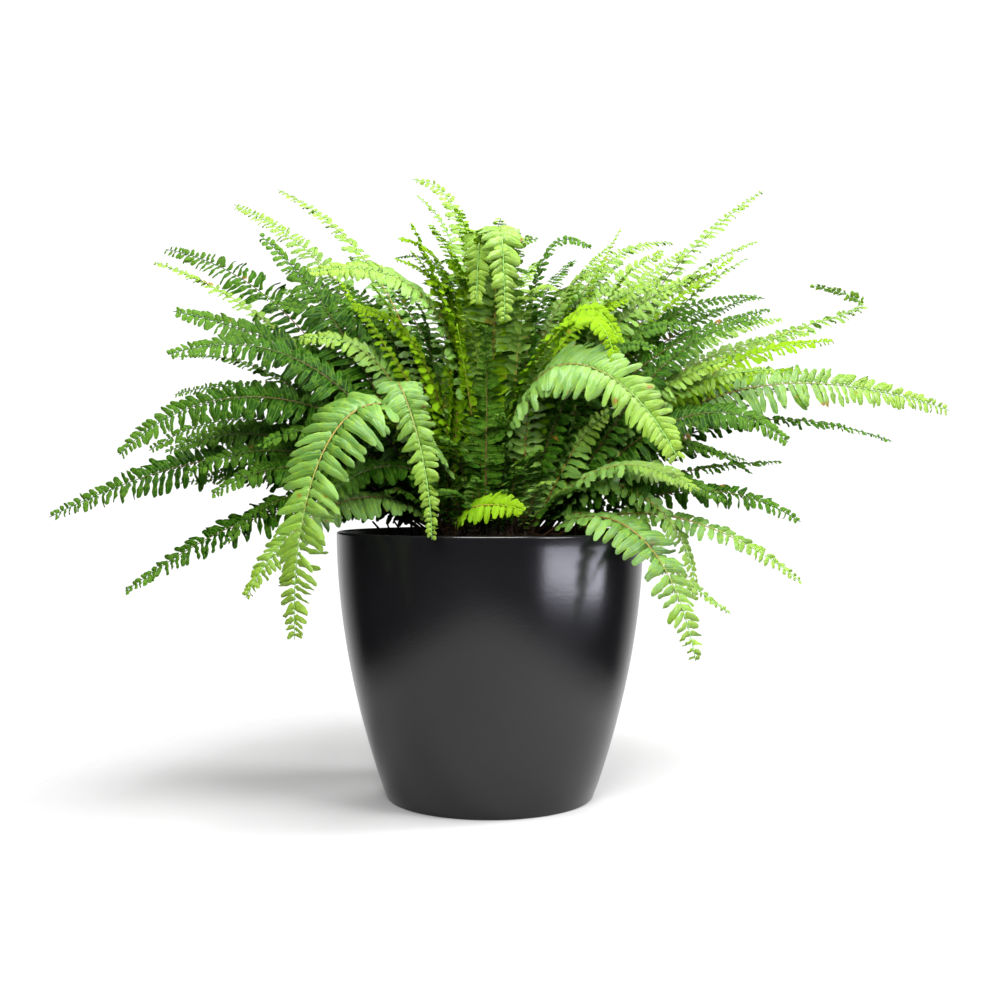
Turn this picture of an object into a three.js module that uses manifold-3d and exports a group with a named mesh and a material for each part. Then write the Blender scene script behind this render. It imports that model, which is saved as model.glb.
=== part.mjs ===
// A Boston fern in a round planter. Millimetres, +Z up, the origin in the middle of the planter's foot.
// The planter and the soil are turned round Z. Every frond is one closed solid: a three-sided rib that
// arches from a hole in the soil, with blunt leaflets cut down to it on both sides.
import * as THREE from "three";
import { mergeVertices } from "three/addons/utils/BufferGeometryUtils.js";
import Module from "manifold-3d";

const wasm = await Module();
wasm.setup();

// Planter
const RIM_RADIUS = 150;
const FOOT_RADIUS = 101.5;
const POT_HEIGHT = 260;
const POT_BELLY = 1.9; // how late the wall turns in towards the foot
const WALL = 5;
const FLOOR = 8;
const FOOT_ROUND = 4;
const FOOT_TURN = 0.3; // how far in from its corner the foot's rounding passes, as a share of it
const LIP_BEVEL = [0.35, 0.15]; // the rim's bevel inwards and down, as shares of the wall
const POT_SIDES = 36;
const SOIL_SIDES = 18;
const OUTER_HEIGHTS = [22, 60, 105, 155, 205]; // the heights at which the walls bend
const INNER_HEIGHT = 105;
const SEAT_GAP = 0.3; // between the soil and the planter, and round every stem

// Soil: a root ball that stands a little above the rim in the middle and ends below it at the wall
const SOIL_CROWN = 12;
const SOIL_EDGE = -16;
const CROWN_RADIUS = 118;
const CROWN_BEND = 76; // where the crown's slope bends

// Fronds
const STEM_DEPTH = 12; // how deep a stem stands in the soil
const TWIN_ASIDE = 1.6; // a twin starts where its way has come this far from the shared stem's middle
const TWIN_HIGHEST = 12; // but no further up than this
const ROOT_SPREAD = 95; // how far out a flat frond would start
const ROOT_GATHER = 0.9; // how much nearer the middle it starts for each degree that it rises
const STEEPEST_ROOT = 85;
const RIB_WIDTH = [3.0, 1.3]; // at the soil and at the tip
const RIB_DEPTH = [3.2, 1.5];
const BARE_STEM = 0.1; // share of the length without leaflets
const LAST_LEAFLET = 0.975; // share of the length where they end
const FIRST_WIDTH = 0.38; // the width at the first leaflets, as a share of the widest
const OPENING = 2.6; // how fast the frond widens from there
const WIDEST = 0.4; // share of the length from which it narrows
const NARROWING = 0.9; // how much of its width it loses by the tip
const NARROW_BEND = 1.7; // and how late
const LEAFLET_PITCH = 20;
const LEAFLET_END = 0.42; // how wide a leaflet's outer end is, as a share of the pitch
const LEAFLET_TURN = 1.2; // how much higher its near corner lies, and how much lower its far one
const LEAFLET_SWEEP = [5, 26]; // degrees towards the frond's tip, at its start and end
const LEAFLET_DROOP = 0.1; // how far a leaflet's end hangs, as a share of its length
const LENGTH_VARIES = 0.08; // how much these differ from leaflet to leaflet, as shares of themselves
const SWEEP_VARIES = 0.3;
const DROOP_VARIES = 0.8;
const LEAFLET_TRIMS = [1, 0.75, 0.5, 0.32]; // lengths that are tried where fronds are crowded
const LEAF_GAP = 0.35; // between leaflets and anything that isn't their own rib
const SOIL_CLEARANCE = 1;
const WALL_CLEARANCE = 2;
const SEED = 11;

const COLOURS = {
  pot: { color: 0x17171a, roughness: 0.28, metalness: 0.1 },
  soil: { color: 0x1d1712, roughness: 0.95, metalness: 0 },
  mature: { color: 0x2f6a24, roughness: 0.5, metalness: 0 },
  grown: { color: 0x4b8c2c, roughness: 0.5, metalness: 0 },
  young: { color: 0x8fc233, roughness: 0.5, metalness: 0 },
};

// Each frond: its name, the bearing and reach of its tip, the tip's height, the slopes at which it leaves
// the soil and ends, the half width, how far it turns its face to the front, how stiffly it springs up and
// how stiffly it ends (as shares of the straight way from root to tip), its age, and, where neighbours
// crowd it, how far its root is turned from its bearing and moved outwards. Angles are in degrees, +X is
// bearing 0 and the front is bearing 270.
// A name that ends in _twin grows from the root of the frond before it and is one solid with it.
const FRONDS = [
  ["left_low_1", 190, 415, 275, 45, -27, 30, 58, 0.42, 0.42, "mature"],
  ["left_low_2", 196, 345, 208, 36, -36, 28, 35, 0.4, 0.4, "mature"],
  ["left_low_2_twin", 200, 258, 250, 42, -55, 22, 30, 0.42, 0.42, "mature"],
  ["left_low_3", 214, 256, 206, 45, -62, 27, 30, 0.45, 0.45, "grown"],
  ["left_mid_1", 203, 352, 331, 62, -48, 28, 60, 0.42, 0.42, "mature"],
  ["left_mid_2", 184, 330, 338, 48, -35, 30, 58, 0.42, 0.42, "mature"],
  ["left_mid_3", 168, 335, 399, 48, -15, 24, 48, 0.4, 0.4, "mature"],
  ["left_mid_4", 175, 314, 434, 45, -5, 22, 18, 0.38, 0.38, "mature"],
  ["left_mid_4_twin", 172, 318, 308, 32, -5, 22, 18, 0.38, 0.38, "mature"],
  ["left_mid_5", 206, 313, 419, 56, -20, 30, 55, 0.44, 0.42, "mature"],
  ["left_mid_5_twin", 201, 304, 461, 60, 8, 34, 60, 0.48, 0.42, "mature", -18],
  ["left_high_1", 186, 322, 518, 52, 18, 24, 22, 0.38, 0.38, "grown", 6],
  ["left_high_2", 163, 362, 556, 52, 12, 36, 62, 0.4, 0.36, "mature"],
  ["left_high_3", 196, 224, 539, 60, 38, 38, 66, 0.38, 0.3, "mature", -6],
  ["left_high_4", 160, 289, 602, 66, 24, 24, 42, 0.4, 0.38, "grown"],
  ["left_high_5", 168, 222, 606, 74, 26, 22, 22, 0.4, 0.38, "grown"],
  ["left_high_6", 222, 212, 491, 88, -14, 26, 62, 0.66, 0.48, "grown"],
  ["left_high_7", 196, 150, 502, 78, 55, 15, 40, 0.38, 0.38, "young"],
  ["left_high_7_twin", 214, 132, 492, 80, 48, 22, 40, 0.38, 0.38, "young", 6],
  ["front_left_1", 226, 238, 173, 66, -92, 40, 30, 0.95, 0.95, "grown", 4],
  ["front_left_2", 217, 186, 288, 66, -48, 30, 30, 0.5, 0.45, "mature"],
  ["front_left_2_twin", 205, 62, 345, 78, 10, 24, 60, 0.42, 0.42, "mature", -24],
  ["front_left_3", 254, 175, 258, 62, -82, 22, 10, 1.6, 0.85, "grown", -52, -7],
  ["front_mid_1", 283, 134, 282, 45, -12, 20, 230, 0.42, 0.42, "young", -40],
  ["front_mid_2", 336, 122, 374, 56, 36, 28, 70, 0.38, 0.38, "grown"],
  ["front_mid_2_twin", 345, 92, 402, 84, 5, 30, 80, 0.45, 0.45, "mature"],
  ["front_mid_3", 262, 60, 455, 86, 0, 30, 0, 0.45, 0.45, "mature"],
  ["front_mid_3_twin", 278, 72, 372, 76, 30, 26, 0, 0.42, 0.42, "mature"],
  ["front_mid_4", 300, 92, 338, 66, 25, 26, 30, 0.42, 0.42, "mature"],
  ["front_mid_5", 240, 86, 350, 68, 20, 26, 20, 0.42, 0.42, "mature"],
  ["top_1", 226, 104, 548, 86, 58, 26, 40, 0.38, 0.38, "young", 12],
  ["top_1_twin", 252, 96, 452, 84, 60, 10, 30, 0.38, 0.38, "young"],
  ["top_2", 180, 76, 605, 88, 2, 20, 60, 0.55, 0.22, "grown"],
  ["top_2_twin", 165, 76, 594, 84, 34, 14, 20, 0.42, 0.25, "grown", -42],
  ["top_3", 160, 102, 534, 80, -10, 15, 20, 0.38, 0.38, "mature"],
  ["top_4", 276, 105, 515, 94, -50, 32, 0, 0.58, 0.55, "grown", 6],
  ["top_5", 345, 101, 532, 80, -38, 20, 40, 0.42, 0.36, "mature"],
  ["top_6", 10, 133, 562, 72, 60, 11, 20, 0.38, 0.38, "young"],
  ["top_6_twin", 5, 105, 525, 78, 50, 13, 30, 0.38, 0.38, "young"],
  ["right_high_1", 20, 199, 556, 72, 2, 24, 30, 0.42, 0.4, "grown"],
  ["right_high_2", 10, 283, 606, 62, 34, 20, 30, 0.4, 0.38, "grown"],
  ["right_high_3", 350, 258, 536, 62, 18, 16, 25, 0.38, 0.38, "grown"],
  ["right_high_3_twin", 0, 253, 528, 58, 30, 16, 22, 0.38, 0.38, "grown"],
  ["right_high_4", 354, 266, 484, 60, -8, 20, 42, 0.4, 0.4, "mature", 0, -7],
  ["right_high_5", 350, 150, 500, 70, 30, 18, 30, 0.38, 0.38, "young", 12, -7],
  ["right_high_6", 318, 160, 432, 82, -62, 20, 62, 0.55, 0.55, "young"],
  ["right_mid_1", 4, 322, 505, 62, 168, 22, 20, 0.7, 0.5, "grown", -6],
  ["right_mid_2", 350, 328, 440, 48, 0, 24, 40, 0.38, 0.38, "young", 6],
  ["right_mid_3", 348, 430, 373, 52, -20, 30, 60, 0.46, 0.42, "grown", 0, 7],
  ["right_mid_3_twin", 338, 235, 420, 56, 15, 26, 50, 0.42, 0.42, "grown"],
  ["right_mid_4", 356, 388, 347, 48, -20, 20, 22, 0.42, 0.4, "mature", 0, 7],
  ["right_mid_4_twin", 350, 280, 327, 36, 2, 18, 20, 0.38, 0.38, "mature", -6],
  ["right_mid_5", 336, 292, 343, 50, -42, 27, 50, 0.42, 0.42, "mature", 0, 7],
  ["right_mid_5_twin", 340, 265, 458, 52, 8, 26, 45, 0.38, 0.38, "mature", -6],
  ["front_right_1", 308, 256, 325, 88, -58, 38, 75, 0.84, 0.52, "grown", -6],
  ["front_right_2", 318, 240, 153, 32, -78, 30, 20, 0.5, 0.5, "grown"],
  ["front_right_3", 332, 212, 200, 56, -92, 18, 20, 0.62, 0.5, "grown", -6],
  ["front_right_3_twin", 326, 255, 192, 30, -30, 13, 20, 0.42, 0.42, "grown"],
  ["right_low_1", 344, 298, 271, 30, -34, 24, 38, 0.4, 0.38, "mature"],
  ["right_low_2", 335, 305, 219, 30, -38, 18, 30, 0.38, 0.38, "grown"],
  ["back_1", 140, 305, 262, 44, -45, 27, 20, 0.42, 0.42, "mature"],
  ["back_2", 118, 330, 310, 52, -40, 28, 10, 0.42, 0.42, "mature"],
  ["back_3", 96, 290, 238, 46, -60, 27, 0, 0.45, 0.45, "grown"],
  ["back_4", 74, 340, 330, 56, -36, 28, 0, 0.42, 0.42, "mature"],
  ["back_5", 52, 300, 250, 45, -50, 26, 10, 0.42, 0.42, "grown"],
  ["back_6", 150, 285, 402, 58, -20, 28, 30, 0.42, 0.42, "mature"],
  ["back_7", 128, 262, 448, 64, -15, 27, 20, 0.42, 0.42, "grown"],
  ["back_8", 104, 280, 392, 62, -35, 28, 10, 0.45, 0.45, "mature"],
  ["back_8_twin", 112, 200, 330, 74, -72, 26, 0, 0.6, 0.55, "mature"],
  ["back_9", 82, 240, 462, 68, -20, 28, 0, 0.45, 0.45, "mature"],
  ["back_10", 60, 275, 420, 62, -28, 28, 10, 0.42, 0.42, "grown"],
  ["back_11", 40, 250, 470, 62, -10, 26, 20, 0.42, 0.42, "mature"],
  ["back_11_twin", 30, 335, 318, 48, -32, 28, 20, 0.42, 0.42, "mature"],
  ["back_12", 138, 160, 520, 78, 0, 24, 20, 0.42, 0.42, "grown"],
  ["back_12_twin", 92, 130, 530, 80, -10, 24, 0, 0.42, 0.42, "grown"],
  ["back_13", 50, 165, 515, 76, -5, 24, 10, 0.42, 0.42, "grown"],
];

const UP = new THREE.Vector3(0, 0, 1);
const rad = THREE.MathUtils.degToRad;
const mix = THREE.MathUtils.lerp;

// The horizontal direction of a bearing in degrees.
function heading(bearing) {
  return new THREE.Vector3(Math.cos(rad(bearing)), Math.sin(rad(bearing)), 0);
}

function potRadius(z) {
  return RIM_RADIUS - (RIM_RADIUS - FOOT_RADIUS) * (1 - z / POT_HEIGHT) ** POT_BELLY;
}

// The radius of the planter's inside, which is straight between its three heights.
function cavityRadius(z) {
  const top = POT_HEIGHT - WALL / 2;
  const [low, high] = z < INNER_HEIGHT ? [FLOOR, INNER_HEIGHT] : [INNER_HEIGHT, top];
  return mix(potRadius(low), potRadius(high), (z - low) / (high - low)) - WALL;
}

function soilHeight(r) {
  const swell = 0.5 + 0.5 * Math.cos(Math.PI * Math.min(1, r / CROWN_RADIUS));
  return POT_HEIGHT + mix(SOIL_EDGE, SOIL_CROWN, swell);
}

// Solids and geometries

function toSolid(geometry) {
  const bare = geometry.clone();
  bare.deleteAttribute("normal");
  bare.deleteAttribute("uv");
  const merged = mergeVertices(bare, 1e-3);
  return new wasm.Manifold(
    new wasm.Mesh({
      numProp: 3,
      vertProperties: new Float32Array(merged.attributes.position.array),
      triVerts: new Uint32Array(merged.index.array),
    }),
  );
}

function toGeometry(solid) {
  const { vertProperties, triVerts } = solid.getMesh();
  const geometry = new THREE.BufferGeometry();
  geometry.setAttribute("position", new THREE.BufferAttribute(vertProperties, 3));
  geometry.setIndex(new THREE.BufferAttribute(triVerts, 1));
  geometry.computeVertexNormals();
  return geometry;
}

function namedMesh(name, geometry, look) {
  const material = new THREE.MeshStandardMaterial({ ...COLOURS[look], flatShading: true });
  const mesh = new THREE.Mesh(geometry, material);
  mesh.name = name;
  return mesh;
}

// A closed profile of [radius, height] points turned round Z.
function turned(profile, sides) {
  const points = profile.map(([r, z]) => new THREE.Vector2(r, z));
  return new THREE.LatheGeometry(points, sides).rotateX(Math.PI / 2);
}

function potGeometry() {
  const shoulder = POT_HEIGHT - WALL / 2;
  const outer = [...OUTER_HEIGHTS, shoulder].map((z) => [potRadius(z), z]);
  const foot = [
    [0, 0],
    [FOOT_RADIUS - FOOT_ROUND, 0],
    [potRadius(0) - FOOT_TURN * FOOT_ROUND, FOOT_TURN * FOOT_ROUND],
    [potRadius(FOOT_ROUND), FOOT_ROUND],
  ];
  const lipMiddle = RIM_RADIUS - WALL / 2;
  const [bevelIn, bevelDown] = LIP_BEVEL.map((share) => share * WALL);
  const lip = [
    [lipMiddle + bevelIn, POT_HEIGHT - bevelDown],
    [lipMiddle, POT_HEIGHT],
    [lipMiddle - bevelIn, POT_HEIGHT - bevelDown],
  ];
  const inner = [shoulder, INNER_HEIGHT, FLOOR].map((z) => [cavityRadius(z), z]);
  return turned([...foot, ...outer, ...lip, ...inner, [0, FLOOR]], POT_SIDES);
}

function soilGeometry(stems) {
  const wallPoint = (z) => [cavityRadius(z) - SEAT_GAP, z];
  const wall = [FLOOR + SEAT_GAP, INNER_HEIGHT, POT_HEIGHT + SOIL_EDGE].map(wallPoint);
  const top = [CROWN_RADIUS, CROWN_BEND, 0].map((r) => [r, soilHeight(r)]);
  const ball = turned([[0, FLOOR + SEAT_GAP], ...wall, ...top], SOIL_SIDES);
  const standing = stems.filter((stem) => !stem.isTwin);
  return toGeometry(standing.reduce((solid, stem) => solid.subtract(holeFor(stem)), toSolid(ball)));
}

// Fronds

function frondOf(row) {
  const [name, bearing, reach, tipHeight, rise, fall, halfWidth, face, spring, drop, age, ...crowded] = row;
  const [turn = 0, out = 0] = crowded;
  const isTwin = name.endsWith("_twin");
  return { name, isTwin, bearing, reach, tipHeight, rise, fall, halfWidth, face, spring, drop, age, turn, out };
}

function rootOf(frond) {
  const radius = ROOT_SPREAD - ROOT_GATHER * Math.min(frond.rise, STEEPEST_ROOT) + frond.out;
  return heading(frond.bearing + frond.turn).multiplyScalar(radius).setZ(soilHeight(radius));
}

// The rib's middle line: it leaves the soil at the slope `rise` and ends at the slope `fall`.
function ribCurve(frond, root) {
  const tip = heading(frond.bearing).multiplyScalar(frond.reach).setZ(frond.tipHeight);
  const span = root.distanceTo(tip);
  const slope = (bearing, angle, size) =>
    heading(bearing)
      .multiplyScalar(Math.cos(rad(angle)) * size)
      .addScaledVector(UP, Math.sin(rad(angle)) * size);
  const leaving = slope(frond.bearing + frond.turn, frond.rise, span * frond.spring);
  const ending = slope(frond.bearing - frond.turn / 2, frond.fall, span * frond.drop);
  return new THREE.CubicBezierCurve3(root, root.clone().add(leaving), tip.clone().sub(ending), tip);
}

// The place, direction, side and upper face of the rib at a share of its length.
function frameAt(frond, share) {
  const place = frond.curve.getPointAt(share);
  const along = frond.curve.getTangentAt(share);
  const across = heading(frond.bearing + 90);
  across.addScaledVector(along, -across.dot(along)).normalize();
  const above = along.clone().cross(across);
  const roll = rad(frond.face) * Math.cos(rad(frond.bearing));
  const side = across.multiplyScalar(Math.cos(roll)).addScaledVector(above, Math.sin(roll));
  return { place, along, side, above: along.clone().cross(side) };
}

// The rib's section: its left and right upper edges and its keel.
function ribSection(frame, share, grow = 0) {
  const width = mix(...RIB_WIDTH, share) / 2 + grow;
  const depth = mix(...RIB_DEPTH, share) / 2 + grow;
  const offset = (aside, up) =>
    frame.place.clone().addScaledVector(frame.side, aside).addScaledVector(frame.above, up);
  return [offset(width, depth), offset(-width, depth), offset(0, -depth - grow)];
}

// The section at a distance up (or, below the soil, down) the straight line in which a stem leaves the root.
function stemSection(frond, distance, grow = 0) {
  const frame = frameAt(frond, 0);
  frame.place.addScaledVector(frame.along, distance);
  return ribSection(frame, 0, grow);
}

function holeFor(frond) {
  const low = stemSection(frond, -STEM_DEPTH - SEAT_GAP, SEAT_GAP);
  const high = stemSection(frond, STEM_DEPTH, SEAT_GAP);
  const faces = [
    [0, 2, 1],
    [3, 4, 5],
    [0, 1, 4, 3],
    [1, 2, 5, 4],
    [2, 0, 3, 5],
  ];
  return meshSolid([...low, ...high], faces);
}

// A solid from its corners and faces. A face is a list of corners, seen counterclockwise from outside.
function meshSolid(corners, faces) {
  const triangles = faces.flatMap((face) =>
    face.slice(2).flatMap((corner, k) => [face[0], face[k + 1], corner]),
  );
  return new wasm.Manifold(
    new wasm.Mesh({
      numProp: 3,
      vertProperties: new Float32Array(corners.flatMap((corner) => corner.toArray())),
      triVerts: new Uint32Array(triangles),
    }),
  );
}

// How wide the leafy part is at a share of the whole length, as a share of the half width.
function widthProfile(share) {
  const opened = Math.min(1, FIRST_WIDTH + OPENING * (share - BARE_STEM));
  const past = Math.max(0, share - WIDEST) / (1 - WIDEST);
  return opened * (1 - NARROWING * past ** NARROW_BEND);
}

function seededRandom(seed) {
  let state = seed;
  return () => {
    state = (Math.imul(state, 1664525) + 1013904223) >>> 0;
    return state / 2 ** 32;
  };
}

const random = seededRandom(SEED);
const vary = (amount) => 1 + amount * (2 * random() - 1);

// Crowding

// A small convex piece with two three-sided ends, ready for the test of touching.
function wedge(corners, owner, place) {
  const [a, b, c, d, e, f] = corners;
  const lines = [
    [a, b],
    [b, c],
    [c, a],
    [d, e],
    [e, f],
    [f, d],
    [a, d],
    [b, e],
    [c, f],
  ].map(([p, q]) => q.clone().sub(p));
  const normal = (p, q, r) => q.clone().sub(p).cross(r.clone().sub(p));
  const normals = [normal(a, b, c), normal(d, e, f), normal(a, b, e), normal(b, c, f), normal(c, a, d)];
  return { corners, lines, normals, owner, place, box: new THREE.Box3().setFromPoints(corners) };
}

function apartAlong(axis, a, b) {
  const size = axis.length();
  if (size < 1e-6) return false;
  const spread = (piece) => piece.corners.map((corner) => corner.dot(axis) / size);
  const one = spread(a);
  const two = spread(b);
  return Math.min(...one) - Math.max(...two) > LEAF_GAP || Math.min(...two) - Math.max(...one) > LEAF_GAP;
}

function wedgesTouch(a, b) {
  if (!a.box.intersectsBox(b.box)) return false;
  if (a.normals.some((axis) => apartAlong(axis, a, b))) return false;
  if (b.normals.some((axis) => apartAlong(axis, a, b))) return false;
  return !a.lines.some((p) => b.lines.some((q) => apartAlong(p.clone().cross(q), a, b)));
}

// Whether a point lies in or too near the planter's wall or the soil.
function inPlanter(point) {
  const r = Math.hypot(point.x, point.y);
  if (r < RIM_RADIUS - WALL) return point.z < soilHeight(r) + SOIL_CLEARANCE;
  return r < potRadius(Math.max(0, point.z)) + WALL_CLEARANCE && point.z < POT_HEIGHT + WALL_CLEARANCE;
}

function wedgeInPlanter(piece) {
  const steps = 12;
  const [a, b, c] = piece.corners;
  for (let i = 0; i <= steps; i++) {
    const onBase = a.clone().lerp(b, i / steps);
    for (let k = 0; k <= steps; k++) {
      if (inPlanter(onBase.clone().lerp(c, k / steps))) return true;
    }
  }
  return false;
}

// Building the fronds

function stationsOf(frond) {
  const leafy = frond.curve.getLength() * (LAST_LEAFLET - BARE_STEM);
  const pairs = Math.round(leafy / LEAFLET_PITCH);
  const blade = Array.from({ length: pairs + 1 }, (_, i) => mix(BARE_STEM, LAST_LEAFLET, i / pairs));
  return [0, ...blade];
}

// Adds a frond's middle line and stations. A twin starts inside the stem of the frond before it.
function layRib(frond, before) {
  frond.curve = ribCurve(frond, frond.isTwin ? before.curve.v0 : rootOf(frond));
  if (frond.isTwin) {
    const spread = frond.curve.getTangent(0).angleTo(before.curve.getTangent(0));
    frond.start = Math.min(TWIN_HIGHEST, TWIN_ASIDE / Math.sin(spread));
  }
  frond.shares = stationsOf(frond);
  frond.frames = frond.shares.map((share) => frameAt(frond, share));
  return frond;
}

function ribWedges(frond) {
  const sections = frond.frames.map((frame, i) => ribSection(frame, frond.shares[i]));
  return sections.slice(1).map((section, i) => wedge([...sections[i], ...section], frond, i));
}

// The longest leaflet that fits between stations i and i + 1 on one side, or null where none does.
function growLeaflet(frond, i, hand, pieces) {
  const shares = [frond.shares[i], frond.shares[i + 1]];
  const middle = frameAt(frond, (shares[0] + shares[1]) / 2);
  const edge = hand > 0 ? 0 : 1;
  const [near, far] = shares.map((share, k) => ribSection(frond.frames[i + k], share));
  const full = frond.halfWidth * widthProfile((shares[0] + shares[1]) / 2) * vary(LENGTH_VARIES);
  const sweep = rad(mix(...LEAFLET_SWEEP, shares[0]) * vary(SWEEP_VARIES));
  const droop = LEAFLET_DROOP * vary(DROOP_VARIES);
  const halfEnd = (near[edge].distanceTo(far[edge]) * LEAFLET_END) / 2;
  for (const trim of LEAFLET_TRIMS) {
    const length = full * trim;
    const end = middle.place
      .clone()
      .addScaledVector(middle.side, hand * length * Math.cos(sweep))
      .addScaledVector(middle.along, length * Math.sin(sweep))
      .addScaledVector(middle.above, -length * droop);
    const [heel, toe] = [-1, 1].map((step) =>
      end
        .clone()
        .addScaledVector(middle.along, step * halfEnd)
        .addScaledVector(middle.above, -step * LEAFLET_TURN * trim),
    );
    const piece = wedge([near[edge], heel, near[2], far[edge], toe, far[2]], frond, i);
    const blocked = pieces.some(
      (other) => (other.owner !== frond || Math.abs(other.place - i) > 1) && wedgesTouch(piece, other),
    );
    if (!blocked && !wedgeInPlanter(piece)) return piece;
  }
  return null;
}

function frondSolid(frond, leaflets) {
  const corners = [];
  const add = (corner) => corners.push(corner) - 1;
  const start = stemSection(frond, frond.isTwin ? frond.start : -STEM_DEPTH);
  const upper = frond.frames.map((frame, i) => ribSection(frame, frond.shares[i]));
  const sections = [start, ...(frond.isTwin ? upper.slice(1) : upper)];
  const rings = sections.map((section) => section.map(add));
  const tip = add(frond.curve.v3);
  const faces = [];
  rings.slice(1).forEach(([left, right, keel], i) => {
    const [lastLeft, lastRight, lastKeel] = rings[i];
    faces.push([lastLeft, lastRight, right, left]);
    const stretch = frond.isTwin ? i : i - 1;
    const sides = [leaflets.get(`${stretch} 1`), leaflets.get(`${stretch} -1`)];
    faces.push(...sideFaces([lastLeft, left, lastKeel, keel], sides[0], add));
    faces.push(...sideFaces([lastRight, right, lastKeel, keel], sides[1], add).map((f) => f.reverse()));
  });
  const [left, right, keel] = rings[0];
  const [endLeft, endRight, endKeel] = rings.at(-1);
  faces.push([left, keel, right], [endLeft, endRight, tip], [endRight, endKeel, tip], [endKeel, endLeft, tip]);
  return meshSolid(corners, faces);
}

// One side of a stretch of rib: a plain wall, or a leaflet that grows out of it.
function sideFaces([nearEdge, farEdge, nearKeel, farKeel], leaflet, add) {
  if (!leaflet) return [[nearEdge, farEdge, farKeel, nearKeel]];
  const heel = add(leaflet.corners[1]);
  const toe = add(leaflet.corners[4]);
  return [
    [nearEdge, farEdge, toe, heel],
    [nearKeel, heel, toe, farKeel],
    [nearEdge, heel, nearKeel],
    [farEdge, farKeel, toe],
  ];
}

function growFern() {
  const fronds = [];
  for (const row of FRONDS) fronds.push(layRib(frondOf(row), fronds.at(-1)));
  const pieces = fronds.flatMap(ribWedges);
  return fronds.map((frond) => {
    const leaflets = new Map();
    for (let i = 1; i < frond.shares.length - 1; i++) {
      for (const hand of [1, -1]) {
        const piece = growLeaflet(frond, i, hand, pieces);
        if (!piece) continue;
        leaflets.set(`${i} ${hand}`, piece);
        pieces.push(piece);
      }
    }
    return { ...frond, solid: frondSolid(frond, leaflets) };
  });
}

const fern = new THREE.Group();
const fronds = growFern();
fern.add(namedMesh("pot", potGeometry(), "pot"));
fern.add(namedMesh("soil", soilGeometry(fronds), "soil"));

const joined = new Map();
for (const { name, age, solid } of fronds) {
  const node = "frond_" + name.replace("_twin", "");
  const before = joined.get(node);
  joined.set(node, { age, solid: before ? before.solid.add(solid) : solid });
}
for (const [name, { age, solid }] of joined) fern.add(namedMesh(name, toGeometry(solid), age));

export default fern;
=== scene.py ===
"""The looks of a potted Boston fern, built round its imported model.

Metres, +Z up, the camera looks along +Y. Each frond grows along the same curve as in the model, with leaflets
of about their real number and thickness. A leaflet is a closed leaf of two skins that meet at its edge.
"""

import math
from collections import namedtuple

import bpy
import numpy as np
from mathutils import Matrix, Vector, noise


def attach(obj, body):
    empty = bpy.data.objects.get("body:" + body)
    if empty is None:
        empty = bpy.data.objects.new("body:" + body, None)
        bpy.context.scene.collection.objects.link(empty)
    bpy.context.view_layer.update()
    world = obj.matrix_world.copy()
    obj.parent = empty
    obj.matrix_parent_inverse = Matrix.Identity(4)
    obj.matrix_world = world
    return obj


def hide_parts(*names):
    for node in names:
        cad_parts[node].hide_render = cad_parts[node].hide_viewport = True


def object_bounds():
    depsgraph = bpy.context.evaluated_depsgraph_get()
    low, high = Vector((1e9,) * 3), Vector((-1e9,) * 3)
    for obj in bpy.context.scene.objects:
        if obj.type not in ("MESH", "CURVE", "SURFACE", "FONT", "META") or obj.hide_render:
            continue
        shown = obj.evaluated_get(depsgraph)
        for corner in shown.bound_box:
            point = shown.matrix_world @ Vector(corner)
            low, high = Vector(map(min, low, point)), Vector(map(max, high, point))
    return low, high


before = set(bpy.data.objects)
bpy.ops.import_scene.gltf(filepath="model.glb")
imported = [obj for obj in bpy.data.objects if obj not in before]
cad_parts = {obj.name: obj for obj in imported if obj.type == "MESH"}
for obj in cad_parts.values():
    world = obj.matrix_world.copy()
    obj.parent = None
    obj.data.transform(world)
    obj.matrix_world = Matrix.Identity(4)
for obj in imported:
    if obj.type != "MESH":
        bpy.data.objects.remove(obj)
cad_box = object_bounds()

MM = 0.001
SEED = 11

# Planter
RIM_RADIUS = 0.150
FOOT_RADIUS = 0.1015
POT_HEIGHT = 0.260
POT_BELLY = 1.9  # how late the wall turns in towards the foot
WALL = 0.005
FLOOR = 0.008
FOOT_ROUND = 0.004
POT_SIDES = 160
POT_RINGS = 30
AXIS_FACE = 0.001  # radius of the small face that closes a turned form on its axis
SEAT_GAP = 0.0003

# Soil
SOIL_CROWN = 0.012  # its height over the rim in the middle
SOIL_EDGE = -0.016  # and at the wall
CROWN_RADIUS = 0.118
SOIL_SIDES = 128
SOIL_RINGS = 44
RING_CROWDING = 0.8  # below 1 the rings lie closer near the wall
SOIL_WALL_HEIGHTS = (0.2, 0.15, 0.105, 0.06)
SOIL_RELIEF = 0.0022
COARSE_LUMPS = 95  # to the metre
FINE_LUMPS = 330
FINE_SHARE = 0.45  # of the coarse lumps' height
RELIEF_FADE = 0.004  # how near the wall the relief fades
RELIEF_AT_WALL = 0.2  # and to what share
CRUMBS = 650
CRUMB_SIZE = (0.0008, 0.0028)
CRUMB_MARGIN = 0.006
ROOTLETS = 90
ROOTLET_STEPS = 9
ROOTLET_REACH = 0.125  # how far from the middle they start
ROOTLET_LIMIT = 0.139  # and how far they come
ROOTLET_LIFT = 0.0012
STUBS = 46
STUB_STEPS = 7
STUB_REACH = 0.1
STUB_SUNK = 0.006

# Fronds: the rule of the model
STEM_DEPTH = 0.012
ROOT_SPREAD = 0.095  # how far out a flat frond starts
ROOT_GATHER = 0.0009  # and how much nearer for each degree that it rises
STEEPEST_ROOT = 85
BARE_STEM = 0.1
FIRST_WIDTH = 0.38
OPENING = 2.6  # how fast the frond widens
WIDEST = 0.4  # share of the length from which it narrows
NARROW_BEND = 1.7
LEAFLET_SWEEP = (5, 26)  # degrees, at the frond's start and end

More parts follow.
